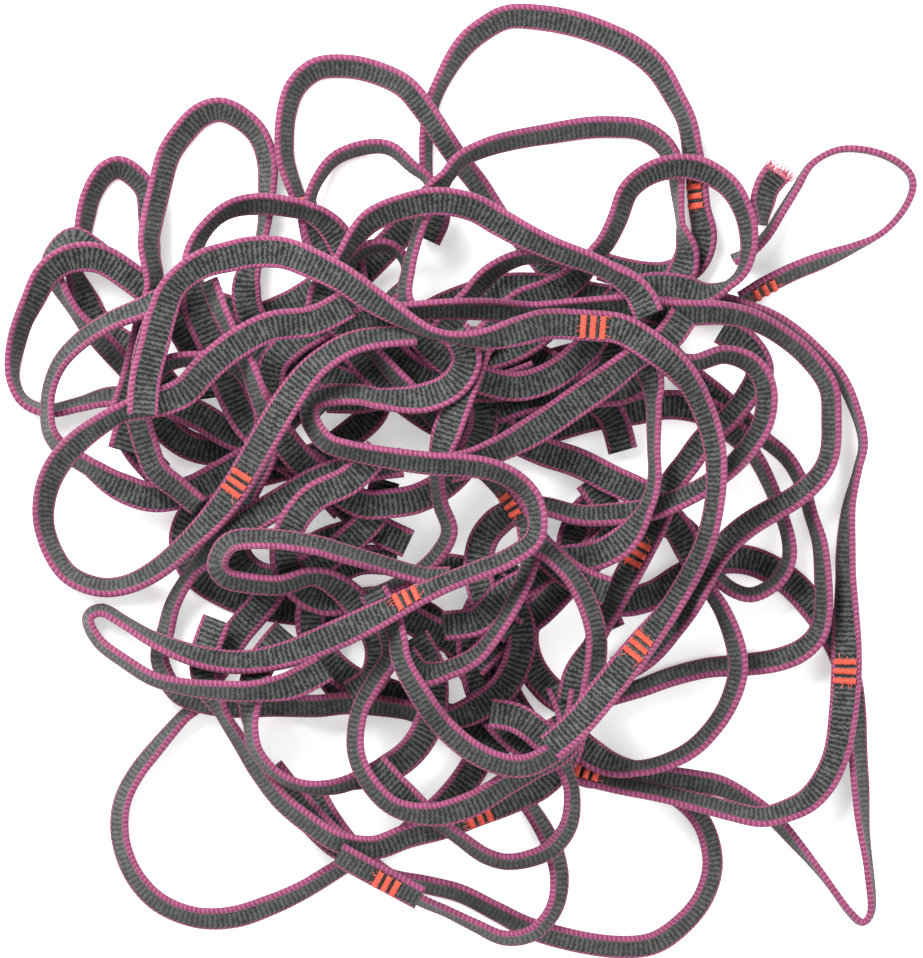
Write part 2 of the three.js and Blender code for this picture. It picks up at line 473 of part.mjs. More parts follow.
// The stations from one distance along the run to another, with both ends cut exactly there.
function stretch(stations, from, to) {
  const cut = (s) => {
    const i = clamp(stations.findIndex((station) => station.s >= s), 1, stations.length - 1);
    const [a, b] = [stations[i - 1], stations[i]];
    return between(a, b, (s - a.s) / (b.s - a.s));
  };
  const inside = stations.filter((station) => station.s > from + 0.01 && station.s < to - 0.01);
  return [cut(from), ...inside, cut(to)];
}

const tapeSolid = (name, stations, material) => solidAlong(name, stations, TAPE_WIDTH / 2, -TAPE_THICKNESS / 2,
  TAPE_THICKNESS / 2, material);

const heap = new THREE.Group();

for (const run of RUNS) {
  const { name, tilt, lift } = run;
  const smooth = fullLine(run);
  const count = Math.round(smooth.length / STATION_STEP);
  const spots = Array.from({ length: count + 1 }, (_, i) => (smooth.length * i) / count);
  const stations = spots.map((s) => stationAt(smooth, tilt, s));
  lay(stations);
  raiseField(stations, (slice) => tapeRim(slice, 0));
  for (const { name: tackName, at } of TACKS.filter((tack) => tack.run === name)) {
    const span = tackSpan({ smooth, stations }, at);
    const [low, high] = padSection(span[0].upper);
    raiseField(span, (slice) => rim(slice, TACK_WIDTH / 2, low, high));
    heap.add(solidAlong(tackName, span, TACK_WIDTH / 2, low, high, TACK_MATERIAL));
  }
  if (!lift) {
    heap.add(tapeSolid(name, stations, TAPE_MATERIAL));
    continue;
  }
  const [from, to] = lift.map((i) => smooth.distance[(i + smooth.first) * POINTS_PER_SPAN]);
  heap.add(tapeSolid(`${name}_root_a`, stretch(stations, 0, from - HINGE_GAP / 2), TAPE_MATERIAL));
  heap.add(tapeSolid(name, stretch(stations, from + HINGE_GAP / 2, to - HINGE_GAP / 2), LOOP_MATERIAL));
  heap.add(tapeSolid(`${name}_root_b`, stretch(stations, to + HINGE_GAP / 2, smooth.length), TAPE_MATERIAL));
}

// The origin stands under the middle of the heap.
const box = new THREE.Box3().setFromObject(heap);
heap.position.set(-(box.min.x + box.max.x) / 2, -(box.min.y + box.max.y) / 2, 0);

export default heap;
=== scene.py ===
"""A sewn webbing chain lying loose in a heap: runs of flat tape with braided edges, and bar tacks."""
import math
import random
from collections import namedtuple

import bmesh
import bpy
import numpy as np
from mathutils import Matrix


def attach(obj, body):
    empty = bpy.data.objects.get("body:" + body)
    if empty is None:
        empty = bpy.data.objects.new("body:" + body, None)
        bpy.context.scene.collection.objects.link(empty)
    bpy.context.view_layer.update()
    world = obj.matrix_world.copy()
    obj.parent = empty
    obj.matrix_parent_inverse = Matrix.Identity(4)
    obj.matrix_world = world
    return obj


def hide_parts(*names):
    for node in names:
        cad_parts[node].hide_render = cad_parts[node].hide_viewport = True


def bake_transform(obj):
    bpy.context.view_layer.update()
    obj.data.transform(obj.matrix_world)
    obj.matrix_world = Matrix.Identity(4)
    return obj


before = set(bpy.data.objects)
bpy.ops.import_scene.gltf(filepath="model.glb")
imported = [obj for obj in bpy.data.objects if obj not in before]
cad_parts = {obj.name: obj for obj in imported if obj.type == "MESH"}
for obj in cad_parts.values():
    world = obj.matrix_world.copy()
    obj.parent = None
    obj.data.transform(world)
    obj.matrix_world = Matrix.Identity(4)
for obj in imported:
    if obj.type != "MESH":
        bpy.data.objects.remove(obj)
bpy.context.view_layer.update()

bl_info = {
    "name": "Webbing Chain",
    "version": (1, 0, 0),
    "blender": (4, 5, 0),
    "location": "View3D > Sidebar > Webbing",
    "description": "Builds a sewn webbing chain in a loose heap",
    "category": "Object",
}

MM = 0.001

# The tape and the way it is laid, in millimetres
TAPE_WIDTH = 11.0
TAPE_THICKNESS = 2.2
TACK_LENGTH = 9.0
TACK_WIDTH = 7.6
TACK_THICKNESS = 0.7
SEAT_GAP = 0.4
STATION_STEP = 6.5
HIDDEN_TILT = 24.0
LEAN_LENGTH = 15.0
POINTS_PER_SPAN = 12
SLICES_PER_STEP = 10
RIM_STEP = 0.6
CELL = 1.0
FIELD_HALF = 190.0
FIELD_SIDE = round(2 * FIELD_HALF / CELL)
LAY_MARGIN = 0.4
MAX_SLOPE = 1.0
EASE = 5.0

# The surface of the tape
RIB_PITCH = 1.7
EDGE_WIDTH = 1.5
RIB_RELIEF = 0.2
BRAID_RELIEF = 0.12
CORE_SINK = 0.18
CORE_OVERLAP = 0.12
YARN_PITCH = 0.62

Run = namedtuple("Run", "name tilt route lead trail", defaults=((), ()))
Laid = namedtuple("Laid", "line distance length tilt reach stations")
Stations = namedtuple("Stations", "s centre across through")

# The runs of tape, lowest first. tilt is the turn of the tape about its centre line in degrees, spread
# evenly along the route: 0 lies flat, 90 stands on edge. route is the centre line seen from above. lead and
# trail carry it on under the rest of the heap, where it leans over to the hidden tilt.
RUNS = [
    Run("end_loop", (62, 64, 90, 90, 90, 84, 76),
        [(97, 62), (105, 67), (115, 72), (125, 76), (135, 80), (145, 85), (152, 92), (156, 100),
        (155, 106), (149, 111), (140, 114), (130, 114), (121, 109), (116, 101), (111, 93), (106, 85),
        (100, 79), (94, 76)]),
    Run("cut_tail", (70, 40, 30),
        [(103.2, 87.8), (103.8, 95), (105.5, 101), (109, 106)]),
    Run("top_arch", (75, 70, 50, 42, 45, 60, 55, 20, 25),
        [(-12, 105), (-12, 118), (-10, 130), (-5, 141), (1, 150), (8, 156), (16, 160), (26, 160),
        (38, 158), (50, 154), (60, 149), (68, 142), (74, 132), (78, 124), (80, 114), (81.5, 104),
        (82.5, 94), (84, 84), (80, 75), (71, 70.5), (60, 71), (48, 74)]),
    Run("left_outer_arch", (75, 60, 50, 55, 75),
        [(-134, 74), (-131, 84), (-130, 90), (-128, 98), (-124, 105), (-119, 108), (-114, 106),
        (-109, 100), (-108, 90), (-107, 80), (-105, 66)],
        lead=[(-92, 20), (-100, 30), (-110, 42), (-124, 52), (-130, 62)],
        trail=[(-98, 54), (-88, 46), (-76, 42), (-64, 44), (-54, 50), (-44, 52), (-34, 46), (-28, 36),
            (-30, 24), (-38, 16), (-50, 8), (-64, 4), (-78, 0), (-90, -8), (-96, -20), (-92, -32),
            (-80, -40), (-66, -44), (-50, -46)]),
    Run("left_fold", (60, 40, 55, 75, 50, 60),
        [(-112, 69), (-120, 74), (-128, 80), (-134, 83), (-140, 78), (-141, 72), (-137, 64), (-130, 54),
        (-122, 46), (-115, 38), (-110, 31)],
        lead=[(-50, 66), (-60, 60), (-72, 56), (-84, 60), (-98, 62)],
        trail=[(-104, 20), (-94, 12), (-82, 10), (-70, 14), (-60, 22), (-52, 32), (-42, 38), (-30, 36),
            (-20, 28), (-8, 20), (4, 16), (16, 18), (28, 24), (38, 34), (44, 46), (40, 58), (28, 64),
            (14, 66)]),
    Run("left_low_loop", (50, 70, 78, 60, 40),
        [(-113, 28), (-122, 28.5), (-132, 26), (-142, 24), (-150, 26.5), (-154, 32), (-155, 40),
        (-152, 52), (-147, 62), (-142, 71)],
        lead=[(-40, -10), (-48, -2), (-58, 6), (-70, 12), (-80, 16), (-90, 22), (-102, 27)],
        trail=[(-134, 76), (-124, 76), (-114, 70), (-104, 62), (-96, 52), (-90, 40), (-88, 28)]),
    Run("lower_left_arch", (75, 65, 60, 55, 50, 60, 70),
        [(-90, -77), (-96, -82), (-104, -91), (-112, -101), (-117, -111), (-118, -122), (-115, -133),
        (-109, -142), (-101, -148), (-90, -151.5), (-78, -151), (-66, -147), (-55, -142), (-45, -136),
        (-35, -130), (-25, -126)],
        lead=[(-24, -14), (-36, -18), (-48, -22), (-60, -30), (-68, -42), (-78, -54), (-85, -66)],
        trail=[(-12, -118), (0, -106), (8, -92), (10, -78), (4, -66), (-4, -54), (-14, -46), (-26, -42),
            (-38, -44), (-46, -54), (-46, -66), (-38, -76)]),
    Run("bottom_arch", (60, 60, 50, 48, 55, 60, 70),
        [(-25, -137), (-12, -140), (0, -143), (12, -149), (24, -155), (40, -159.5), (55, -161.5),
        (67, -160), (77, -153), (84, -144), (87, -133), (85, -122), (80, -114), (72, -108), (60, -103),
        (48, -102)],
        lead=[(-52, -108), (-46, -118), (-37, -129)],
        trail=[(36, -96), (24, -86), (16, -74), (12, -60), (16, -46), (24, -36), (36, -34), (46, -40),
            (52, -52)]),
    Run("bottom_inner_arch", (70, 75, 65, 60, 70),
        [(-30, -133), (-22, -137.5), (-15, -144), (-5, -149), (5, -154), (15, -158), (25, -156),
        (32, -148), (34, -138), (32, -128), (27, -118), (20, -108), (17, -103)],
        lead=[(-66, -100), (-56, -112), (-44, -124)],
        trail=[(10, -92), (0, -84), (-12, -80), (-24, -74), (-36, -70), (-46, -62), (-52, -50),
            (-48, -36), (-36, -28), (-22, -28)]),
    Run("corner_fold", (30, 45, 70, 88, 80, 60, 40),
        [(43, -101), (52, -101), (65, -102), (80, -104), (90, -106), (100, -111), (108, -117),
        (117, -127), (126, -138), (134, -149), (139, -153), (142, -148), (141, -135), (139, -120),
        (138, -105), (137, -92), (136, -80), (134, -68)],
        lead=[(-24, -44), (-14, -50), (-2, -56), (6, -62), (10, -70), (18, -82), (30, -93)],
        trail=[(130, -56), (122, -44), (112, -34), (100, -28), (88, -28), (76, -34), (66, -40),
            (54, -42), (44, -36), (38, -24), (42, -12), (52, -4)]),
    Run("right_outer_run", (60, 75, 86, 60, 20, 40, 60, 65, 40),
        [(100, 58), (110, 54), (120, 47), (130, 37), (136, 25), (139, 13), (137, 3), (134, -10),
        (133, -25), (133, -40), (133, -52), (133, -66), (132, -80), (130, -93), (126, -103), (120, -110),
        (112, -114), (103, -116), (93, -114), (82, -111), (70, -108), (56, -105), (43, -101), (30, -96)],
        lead=[(-4, 36), (10, 36), (24, 38), (38, 42), (52, 44), (64, 52), (76, 58), (88, 60)],
        trail=[(18, -88), (8, -76), (4, -62), (4, -50), (10, -38), (20, -30)]),
    Run("right_middle_run", (70, 75, 65, 50, 60, 65),
        [(105, 14), (113, 7), (118, -2), (121, -12), (124, -22), (125, -35), (125, -45), (123, -53),
        (117, -59), (108, -62.5), (97, -64), (85, -65), (73, -68), (62, -72), (52, -75)],
        lead=[(36, 60), (48, 60), (60, 52), (70, 44), (78, 36), (88, 28), (97, 20)],
        trail=[(42, -78), (32, -74), (24, -64), (22, -52), (28, -40), (38, -30), (48, -22), (50, -10),
            (44, 0)]),
    Run("right_inner_loop", (70, 75, 72, 70),
        [(101, 9), (106, 0), (110, -10), (113, -20), (113, -28), (109, -35), (101, -39.5), (94, -38),
        (88, -33)],
        lead=[(20, 14), (32, 18), (46, 22), (60, 24), (72, 26), (84, 24), (93, 18)],
        trail=[(82, -24), (74, -16), (64, -14), (54, -18), (46, -26), (36, -36), (26, -46), (14, -54),
            (4, -64)]),
    Run("south_bend", (70, 60, 65, 70),
        [(85, -37), (90, -45), (94, -55), (95.5, -65), (93, -75), (88, -84), (80, -92), (70, -97),
        (60, -99)],
        lead=[(-4, 30), (6, 24), (16, 16), (28, 10), (40, 6), (52, 0), (64, -6), (74, -16), (80, -27)],
        trail=[(50, -97), (40, -90), (34, -80)]),
    Run("left_inner_arch", (60, 50, 45, 55, 75),
        [(-105, 66), (-107, 80), (-106, 90), (-104, 100), (-101, 112), (-96, 120), (-90, 126),
        (-83, 128), (-76, 125), (-70, 119), (-67, 110), (-67, 100), (-68, 88), (-70, 80)],
        lead=[(-104, 2), (-112, 12), (-115, 23), (-112, 34), (-108, 50)],
        trail=[(-74, 68), (-72, 56), (-62, 48), (-50, 44), (-36, 42), (-24, 44), (-12, 48), (2, 48),
            (16, 46), (30, 40), (42, 32), (52, 22), (56, 10)]),
    Run("upper_left_arch", (70, 60, 50, 50, 55, 60),
        [(-54, 92), (-60, 108), (-61, 118), (-60, 128), (-57, 136), (-50, 142), (-40, 143), (-30, 141),
        (-20, 136), (-13, 128), (-2, 112), (6, 102), (14, 90), (20, 84)],
        lead=[(-36, 62), (-44, 72), (-50, 82)],
        trail=[(30, 74), (34, 64), (30, 54), (20, 46), (8, 42), (-6, 40), (-20, 34), (-34, 32),
            (-46, 36), (-56, 44)]),
    Run("upper_left_inner", (78, 72, 78),
        [(-52, 97), (-48, 106), (-42, 112), (-32, 115), (-24, 114), (-17, 108), (-11, 103)],
        lead=[(-46, 78), (-51, 88)],
        trail=[(-8, 93), (-12, 83)]),
    Run("upper_inner_run", (70, 60, 55, 60, 84),
        [(-5, 104), (0, 110), (8, 114), (18, 117), (30, 119.5), (42, 121.5), (52, 122), (62, 121),
        (70, 116), (74, 108), (75, 98), (76, 88)],
        lead=[(-54, 52), (-46, 60), (-38, 68), (-30, 76), (-22, 84), (-13, 94)],
        trail=[(78, 78), (74, 68), (64, 62), (52, 62), (40, 64), (28, 66), (14, 66), (0, 62), (-12, 56),
            (-22, 48), (-32, 40)]),
    Run("upper_right_ring", (60, 55, 45, 60, 80),
        [(45, 76), (50, 82), (54, 90), (58, 100), (66, 106), (76, 108), (85, 106), (93, 100), (98, 90),
        (99, 80), (97, 72), (92, 67)],
        lead=[(-10, 30), (0, 40), (10, 50), (20, 60), (30, 64), (39, 69)],
        trail=[(84, 64), (74, 66), (64, 66), (54, 62), (50, 52), (52, 40), (44, 32)]),
    Run("left_low_run", (50, 60, 70, 60),
        [(-100, 62), (-110, 58), (-120, 54), (-130, 48), (-138, 40), (-142, 30), (-142, 18), (-138, 11),
        (-134, 8), (-128, 4.5)],
        lead=[(-46, 24), (-54, 32), (-64, 40), (-78, 50), (-88, 58)],
        trail=[(-118, -2), (-106, -6), (-94, -4), (-82, 2), (-70, 8), (-58, 8), (-48, 2), (-40, -8),
            (-30, -16), (-18, -22)]),
    Run("left_small_arch", (60, 70, 55, 60),
        [(-92, 72), (-90, 82), (-84, 90), (-77, 94), (-68, 95), (-60, 94), (-52, 92)],
        lead=[(-66, 12), (-74, 20), (-80, 32), (-84, 44), (-90, 58)],
        trail=[(-44, 86), (-38, 74), (-38, 62), (-46, 54), (-56, 48), (-64, 40), (-66, 28)]),
    Run("left_cross_run", (60, 72, 60),
        [(-108, 30), (-103, 38), (-95, 41), (-85, 41), (-76, 38), (-70, 31)],
        lead=[(-116, 10), (-113, 20)],
        trail=[(-66, 20), (-68, 8), (-74, -4), (-78, -16), (-76, -28), (-66, -34), (-52, -30),
            (-40, -22), (-30, -12), (-26, 0)]),
    Run("left_slant_run", (60, 70, 60),
        [(-86, 68), (-82, 58), (-77, 48), (-72, 38), (-68, 27)],
        trail=[(-62, 16), (-54, 6), (-44, -2), (-34, -8), (-24, -8), (-14, -6), (-4, 0), (4, 10),
            (8, 22), (4, 34)]),
    Run("lower_left_bend", (70, 60, 50, 50, 60),
        [(-92, -31), (-99, -42), (-102, -52), (-104, -62), (-99, -72), (-92, -76), (-80, -78),
        (-65, -78), (-50, -78), (-38, -77), (-20, -79), (-10, -82)],
        lead=[(-20, 6), (-34, 4), (-48, 0), (-62, -8), (-72, -14), (-82, -22)],
        trail=[(2, -80), (14, -72), (20, -60), (20, -48), (14, -38), (4, -32), (-8, -30)]),
    Run("lower_left_curve", (70, 60, 55, 45, 40, 40),
        [(-82, -80), (-76, -90), (-70, -100), (-62, -110), (-52, -118), (-42, -124), (-30, -126),
        (-18, -122), (-5, -119), (6, -115), (18, -110)],
        lead=[(-84, -48), (-88, -60), (-87, -70)],
        trail=[(28, -104), (36, -94), (38, -82), (34, -70)]),
    Run("lower_small_curve", (70, 75, 65),
        [(-72, -84), (-70, -93), (-63, -101), (-54, -105), (-45, -105.5), (-38, -104)],
        lead=[(-60, -52), (-68, -62), (-72, -74)],
        trail=[(-26, -100), (-16, -92), (-10, -80), (-10, -66), (-16, -54)]),
    Run("bottom_ring", (70, 65, 60, 70),
        [(-8, -117), (0, -123), (8, -129), (16, -131.5), (25, -130), (32, -126), (37, -118), (38, -108),
        (36, -100)],
        lead=[(-30, -98), (-20, -108)],
        trail=[(30, -90), (20, -82), (10, -80)]),
    Run("tack_stub_south", (45, 45),
        [(-42, -128), (-34, -132.5), (-25, -137.5), (-14, -143.5)]),
    Run("upper_ring", (60, 72, 60),
        [(3, 63), (10, 71), (20, 76), (30, 76), (42, 74), (55, 70), (63, 63)],
        lead=[(-46, 28), (-34, 28), (-22, 31), (-12, 38), (-6, 50)],
        trail=[(68, 52), (66, 40), (58, 32), (48, 30), (36, 30), (24, 28), (12, 24)]),
    Run("small_ring", (72, 78, 72),
        [(-38, 75), (-31, 80), (-24, 80), (-19, 75), (-19, 68), (-25, 61)],
        lead=[(-14, 26), (-24, 32), (-34, 41), (-40, 52), (-44, 64)],
        trail=[(-28, 50), (-20, 40), (-10, 34), (2, 32), (14, 32), (26, 36)]),
    Run("upper_link", (72, 76, 70),
        [(-11, 100), (-13, 90), (-16, 80), (-18, 72), (-19, 62)],
        trail=[(-14, 50), (-4, 40), (8, 34), (20, 32), (32, 36), (42, 44), (50, 54), (58, 62)]),
    Run("tack_ribbon_east", (50, 40, 35, 60),
        [(98, 28), (92, 21), (84, 14), (78, 6), (72, -2), (67, -14), (61, -25.5), (56, -35), (50, -47),
        (45, -57)],
        lead=[(90, 52), (99, 46), (103, 37)],
        trail=[(40, -66), (38, -76)]),
    Run("right_ring", (65, 55, 60, 50, 60),
        [(80, 40), (90, 43), (98, 41), (103, 36), (105, 28), (103, 18), (96, 8), (88, 1), (78, -5),
        (65, -10), (50, -12), (40, -12), (27, -9)],
        lead=[(58, 46), (70, 40)],
        trail=[(16, -12), (8, -20), (6, -32), (10, -44), (18, -52)]),
    Run("middle_drop", (70, 76, 70),
        [(66, 26), (66, 18), (66, 10), (66, 0), (63, -10)],
        lead=[(60, 44), (65, 35)],
        trail=[(56, -20), (46, -26), (34, -28), (24, -34), (14, -40), (6, -48), (-6, -50)]),
    Run("middle_slant", (72, 60, 66, 60),
        [(-32, 46), (-20, 33), (-8, 20), (0, 9), (10, 1), (18, -8), (22, -15)],
        lead=[(-50, 60), (-42, 54)],
        trail=[(30, -26), (40, -34), (50, -38)]),
    Run("middle_hook", (70, 66, 72),
        [(-8, 1), (-7, -8), (-4, -18), (-10, -28), (-20, -35), (-32, -40)],
        lead=[(6, 46), (2, 35), (-2, 24), (-6, 12)],
        trail=[(-44, -42), (-54, -38), (-60, -28), (-58, -16), (-50, -6), (-38, 0), (-28, 10)]),
    Run("east_run", (60, 50, 40, 60, 60, 45, 50),
        [(-18, 57), (-5, 58), (10, 58), (25, 57), (40, 58), (60, 59), (70, 57), (80, 57), (90, 57),
        (100, 55), (110, 50), (120, 42), (127, 32), (128, 20), (127, 9), (123, 1), (115, -6), (108, -10),
        (98, -16), (90, -23), (84, -32), (79, -42), (72, -52)],
        lead=[(-40, 52), (-29, 55)],
        trail=[(64, -60), (54, -66)]),
    Run("lower_west_curve", (65, 60, 55, 60),
        [(-12, -33), (-20, -31), (-30, -28), (-40, -25), (-50, -22), (-65, -20), (-78, -21), (-83, -28),
        (-81, -33), (-75, -35), (-62, -36), (-50, -33)],
        lead=[(-4, -34)],
        trail=[(-40, -38), (-32, -48), (-28, -58), (-30, -68), (-38, -74)]),
    Run("west_descent", (60, 45, 40, 50),
        [(-97, 66), (-103, 57), (-107, 45), (-109, 33), (-110, 22), (-107, 10), (-104, 3), (-97, -3),
        (-90, -9)]),
    Run("upper_long_run", (70, 45, 35, 35, 50, 60),
        [(-41, 75), (-36, 83), (-30, 89), (-20, 93), (-8, 95), (4, 93), (13, 88), (22, 83), (33, 78),
        (44, 74), (52, 70)],
        lead=[(-48, 58), (-46, 67)],
        trail=[(60, 64), (64, 56)]),
    Run("south_long_curve", (60, 65, 60, 40, 50),
        [(-24, -60), (-30, -70), (-35, -80), (-36, -93), (-31, -104), (-22, -112), (-8, -114), (5, -110),
        (15, -104), (25, -98)],
        lead=[(-30, -38), (-25, -49)],
        trail=[(34, -92), (40, -82), (42, -72)]),
    Run("middle_face", (40, 15, 15, 40),
        [(12, 10), (20, 14), (30, 20), (40, 27), (50, 34), (60, 42)],
        lead=[(-4, 4), (4, 6)],
        trail=[(70, 48), (76, 56)]),
    Run("lower_hook", (65, 70, 60),
        [(23, -30), (18, -42), (12, -52), (5, -60), (-5, -65)],
        lead=[(24, -16), (24, -23)],
        trail=[(-14, -66), (-20, -60)]),
    Run("south_ring", (60, 50, 50, 50, 55, 60),
        [(-22, -52), (-20, -62), (-14, -73), (-7, -83), (2, -91), (12, -96), (22, -97), (32, -92),
        (40, -84), (44, -74), (46, -62), (46, -52), (43, -42), (38, -33), (30, -25)],
        lead=[(-26, -43)],
        trail=[(22, -19)]),
    Run("middle_long_run", (55, 60, 50, 60, 60, 25, 50, 76, 70, 55),
        [(-27, 27.5), (-35, 29), (-45, 28.5), (-51, 26), (-51, 20), (-46, 13), (-38, 10), (-25, 7.5),
        (-10, 5.5), (0, 5), (10, 3.5), (18, 0), (24, -6), (26, -14), (24, -21), (15, -27), (5, -31),
        (-5, -35), (-18, -41), (-30, -47), (-45, -54), (-60, -60), (-75, -62.5), (-90, -60.5),
        (-105, -55), (-116, -49), (-124, -45), (-129, -48), (-125, -56), (-115, -63), (-105, -68.5),
        (-93, -71), (-80, -72), (-70, -72)],
        lead=[(-2, 51), (2, 41), (-3, 32), (-14, 27.5)],
        trail=[(-58, -70), (-46, -64)]),
    Run("west_long_run", (60, 45, 25, 25, 50, 60, 60, 45, 60),
        [(-15, 49), (-30, 48), (-40, 45), (-50, 38), (-58, 28), (-66, 15), (-76, -1.5), (-85, -13),
        (-95, -23), (-105, -31), (-115, -36), (-125, -37), (-135, -33), (-141, -25), (-144, -15),
        (-143, -5), (-139, 4), (-132, 12), (-124, 18), (-115, 23)],
        trail=[(-104, 26), (-94, 30), (-86, 38), (-76, 46), (-64, 52), (-50, 54), (-38, 60)]),
    Run("top_long_run", (40, 10, 35, 80, 20, 20, 50, 60, 55, 15, 30),
        [(-97, 66), (-88, 73), (-78, 76), (-70, 77.5), (-60, 77), (-50, 73), (-40, 68), (-30, 61),
        (-20, 55), (-10, 50), (0, 48), (10, 48), (20, 50.5), (30, 53), (45, 52.5), (55, 51), (65, 45),
        (74, 38), (80, 30), (85, 18), (87, 5), (86, -10), (82, -25), (73, -42), (61, -57), (50, -70),
        (40, -82), (30, -91)],
        lead=[(-108, 22), (-107, 34), (-104, 46), (-101, 57)]),
]

# The bar tacks: the run each is sewn on, and where along it.
TACKS = {
    "tack_north_east": ("top_arch", (82, 98)),
    "tack_upper_middle": ("top_long_run", (45, 52.5)),
    "tack_west": ("west_long_run", (-76, -1.5)),
    "tack_east_inner": ("tack_ribbon_east", (61, -25.5)),
    "tack_south_east": ("top_long_run", (61, -57)),
    "tack_middle": ("middle_long_run", (-18, -41)),
    "tack_east": ("right_outer_run", (133, -66)),
    "tack_south": ("right_outer_run", (43, -101)),
    "tack_south_west": ("tack_stub_south", (-25, -137)),
}

# Tacks deep in the heap, which only show between the runs over them
DEEP_TACKS = {
    "tack_north_west": ("upper_left_arch", (-54, 93)),
    "tack_bottom": ("lower_left_curve", (6, -115)),
    "tack_end": ("end_loop", (101, 65)),
    "tack_inner": ("middle_slant", (18, -8)),
}

# The end loop and the top arch: the body, the middle of the fold and the way outwards from it
LIFTED = {
    "end_loop": ("end_loop", (118.0, 84.5), (0.772, 0.636)),
    "top_arch": ("top_arch", (36.5, 132.5), (0.201, 0.980)),
}
FOLD_HALF = 4.0


# ---------------------------------------------------------------- laying the tape

def smooth_line(route):
    """A smooth line through the route's points, with the distance along it."""
    points = np.array(route, float)
    line = []
    for i in range(len(points) - 1):
        before, start, end, after = (points[min(max(i + k, 0), len(points) - 1)] for k in (-1, 0, 1, 2))
        for k in range(POINTS_PER_SPAN):
            t = k / POINTS_PER_SPAN
            square = (2 * before - 5 * start + 4 * end - after) * t * t
            cube = (3 * start - before - 3 * end + after) * t * t * t
            line.append(0.5 * (2 * start + (end - before) * t + square + cube))
    line.append(points[-1])
    line = np.array(line)
    steps = np.hypot(*np.diff(line, axis=0).T)
    return line, np.concatenate([[0.0], np.cumsum(steps)])


def point_at(line, distance, s):
    return np.stack([np.interp(s, distance, line[:, 0]), np.interp(s, distance, line[:, 1])], axis=-1)


def tilt_at(tilt, share):
    place = np.clip(share, 0, 1) * (len(tilt) - 1)
    i = np.minimum(np.floor(place).astype(int), len(tilt) - 2)
    t = place - i
    values = np.array(tilt, float)
    return values[i] + (values[i + 1] - values[i]) * t * t * (3 - 2 * t)


def stations_at(line, distance, tilt, reach, s):
    """Cross-sections of the tape: centres, and the directions of its width and thickness, in upright planes.

    reach is how far along the line the route itself starts and ends."""
    s = np.asarray(s, float)
    ahead = point_at(line, distance, s + 1) - point_at(line, distance, s - 1)
    heading = np.arctan2(ahead[:, 1], ahead[:, 0])
    past = np.maximum(np.maximum(reach[0] - s, s - reach[1]), 0)
    lean = np.minimum(past / LEAN_LENGTH, 1)
    route_tilt = tilt_at(tilt, (s - reach[0]) / (reach[1] - reach[0]))
    angle = np.radians(route_tilt + (HIDDEN_TILT - route_tilt) * lean)
    left = np.stack([-np.sin(heading), np.cos(heading), np.zeros_like(s)], axis=-1)
    up = np.array([0.0, 0.0, 1.0])
    across = left * np.cos(angle)[:, None] + up * np.sin(angle)[:, None]
    through = up * np.cos(angle)[:, None] - left * np.sin(angle)[:, None]
    centre = np.column_stack([point_at(line, distance, s), np.zeros_like(s)])
    return Stations(s, centre, across, through)


def slices_of(stations):
    """The stations with evenly spaced sections between them."""
    count = len(stations.s)
    place = np.arange((count - 1) * SLICES_PER_STEP + 1) / SLICES_PER_STEP
    i = np.minimum(place.astype(int), count - 2)
    t = place - i
    parts = []
    for values in stations:
        share = t if values.ndim == 1 else t[:, None]
        parts.append(values[i] + (values[i + 1] - values[i]) * share)
    return Stations(*parts)


def rim(stations, half_width, low, high):
    """The outline of each section as points, each relative to its centre."""
    corners = [(-half_width, low), (half_width, low), (half_width, high), (-half_width, high)]
    outline = []
    for i, (x0, y0) in enumerate(corners):
        x1, y1 = corners[(i + 1) % 4]
        count = math.ceil(math.hypot(x1 - x0, y1 - y0) / RIM_STEP)
        outline += [(x0 + (x1 - x0) * k / count, y0 + (y1 - y0) * k / count) for k in range(count)]
    outline = np.array(outline)
    width_part = stations.across[:, None, :] * outline[None, :, :1]
    return width_part + stations.through[:, None, :] * outline[None, :, 1:]


def tape_rim(stations, margin):
    half = TAPE_THICKNESS / 2 + margin
    return rim(stations, TAPE_WIDTH / 2 + margin, -half, half)


def cells(points):
    column = np.floor((points[..., 0] + FIELD_HALF) / CELL).astype(int)
    row = np.floor((points[..., 1] + FIELD_HALF) / CELL).astype(int)
    return row * FIELD_SIDE + column


def lay(stations, heights):
    """Rests a run on the ground and on everything laid so far, with a limited slope and soft turns."""
    sections = slices_of(stations)
    resting = -tape_rim(sections, 0)[..., 2].min(axis=1)
    outline = tape_rim(sections, LAY_MARGIN)
    below = heights[cells(sections.centre[:, None, :] + outline)]
    resting = np.maximum(resting, (below - outline[..., 2]).max(axis=1))
    apart = np.abs(sections.s[:, None] - sections.s[None, :])
    sloped = (resting[None, :] - MAX_SLOPE * apart).max(axis=1)
    held = np.where(apart <= STATION_STEP + EASE, sloped[None, :], 0).max(axis=1)
    for i, s in enumerate(stations.s):
        stations.centre[i, 2] = held[np.abs(sections.s - s) <= EASE].mean()


def raise_field(heights, stations, rim_of):
    sections = slices_of(stations)
    points = sections.centre[:, None, :] + rim_of(sections)
    np.maximum.at(heights, cells(points).ravel(), points[..., 2].ravel())


def tack_centre(laid, at):
    gaps = np.hypot(laid.line[:, 0] - at[0], laid.line[:, 1] - at[1])
    return float(np.clip(laid.distance[gaps.argmin()], TACK_LENGTH, laid.length - TACK_LENGTH))


def stretch(stations, start, end):
    """The stations from one distance along the run to another, with both ends cut exactly there."""
    inside = stations.s[(stations.s > start + 0.01) & (stations.s < end - 0.01)]
    s = np.concatenate([[start], inside, [end]])

    def at(values):
        return np.stack([np.interp(s, stations.s, column) for column in values.T], axis=-1)

    return Stations(s, at(stations.centre), at(stations.across), at(stations.through))


